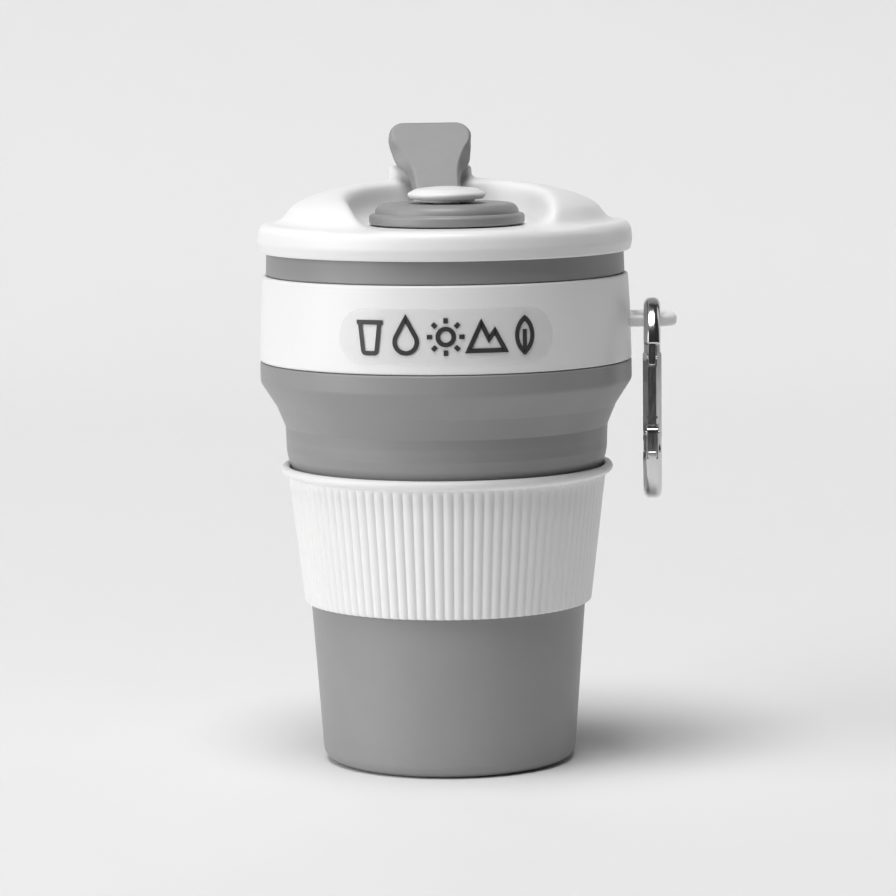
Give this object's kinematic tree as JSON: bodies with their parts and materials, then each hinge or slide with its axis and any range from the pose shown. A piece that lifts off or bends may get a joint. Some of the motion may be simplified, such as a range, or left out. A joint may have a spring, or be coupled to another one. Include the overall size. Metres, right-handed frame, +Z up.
{
  "type": "collapsible travel cup",
  "caption": "Collapsible silicone travel cup with folding tiers, ribbed heat sleeve, snap lid with a flip sip stopper, and a carabiner on a carrying band.",
  "frame": {"origin": "centre of the flat underside, on the surface the cup stands on", "axes": "+Z up along the cup's axis; -Y towards the front, where the lid's stopper button is; +X towards the loop that holds the carabiner"},
  "size_m": [0.1044, 0.0938, 0.1599],
  "materials": {
    "grey_silicone": "matte silicone",
    "white_plastic": "satin moulded polypropylene",
    "clear_label": "clear film",
    "polished_steel": "polished",
    "spring_steel": "drawn"
  },
  "bodies": {
    "base": {"base_section": "grey_silicone", "lower_fold": "grey_silicone"},
    "sleeve": {"heat_sleeve": "white_plastic"},
    "middle": {"middle_section": "grey_silicone", "upper_fold": "grey_silicone"},
    "top": {"rim_section": "grey_silicone", "carry_band": "white_plastic", "band_label": "clear_label"},
    "lid": {"lid_shell": "white_plastic", "lid_seal": "grey_silicone", "stopper_base": "grey_silicone", "stopper_button": "white_plastic", "stopper_strap": "grey_silicone"},
    "flap": {"stopper_flap": "grey_silicone"},
    "carabiner": {"carabiner_frame": "polished_steel", "gate_pivot_pin": "polished_steel"},
    "gate": {"carabiner_gate": "polished_steel", "gate_latch_pin": "polished_steel", "gate_spring": "spring_steel", "gate_plunger": "spring_steel"}
  },
  "joints": [
    {"name": "lower_collapse", "type": "slide", "parent": "base", "child": "middle", "axis": [0, 0, -1], "range_m": [0, 0.039], "deforming": ["lower_fold"]},
    {"name": "sleeve_slide", "type": "slide", "parent": "base", "child": "sleeve", "axis": [0, 0, -1], "range_m": [0, 0.039]},
    {"name": "upper_collapse", "type": "slide", "parent": "middle", "child": "top", "axis": [0, 0, -1], "range_m": [0, 0.022], "deforming": ["upper_fold"]},
    {"name": "lid_lift", "type": "slide", "parent": "top", "child": "lid", "axis": [0, 0, 1], "range_m": [0, 0.05]},
    {"name": "flap_hinge", "type": "hinge", "parent": "lid", "child": "flap", "pos_m": [-0.00295, 0.00664, 0.1472], "axis": [0.9893, 0.1461, 0], "range_deg": [-52, 60], "deforming": ["stopper_strap"]},
    {"name": "carabiner_swing", "type": "hinge", "parent": "top", "child": "carabiner", "pos_m": [0.0512, -0.0075, 0.1037], "axis": [0.9986, -0.0537, 0], "range_deg": [-85, 38]},
    {"name": "gate_swing", "type": "hinge", "parent": "carabiner", "child": "gate", "pos_m": [0.05063, -0.01818, 0.0836], "axis": [-0.9986, 0.0537, 0], "range_deg": [0, 28], "stiffness_Nm_per_rad": 0.01, "springref_deg": -17.19}
  ],
  "couplings": [
    {"joint": "sleeve_slide", "follows": "lower_collapse", "ratio": 1}
  ]
}
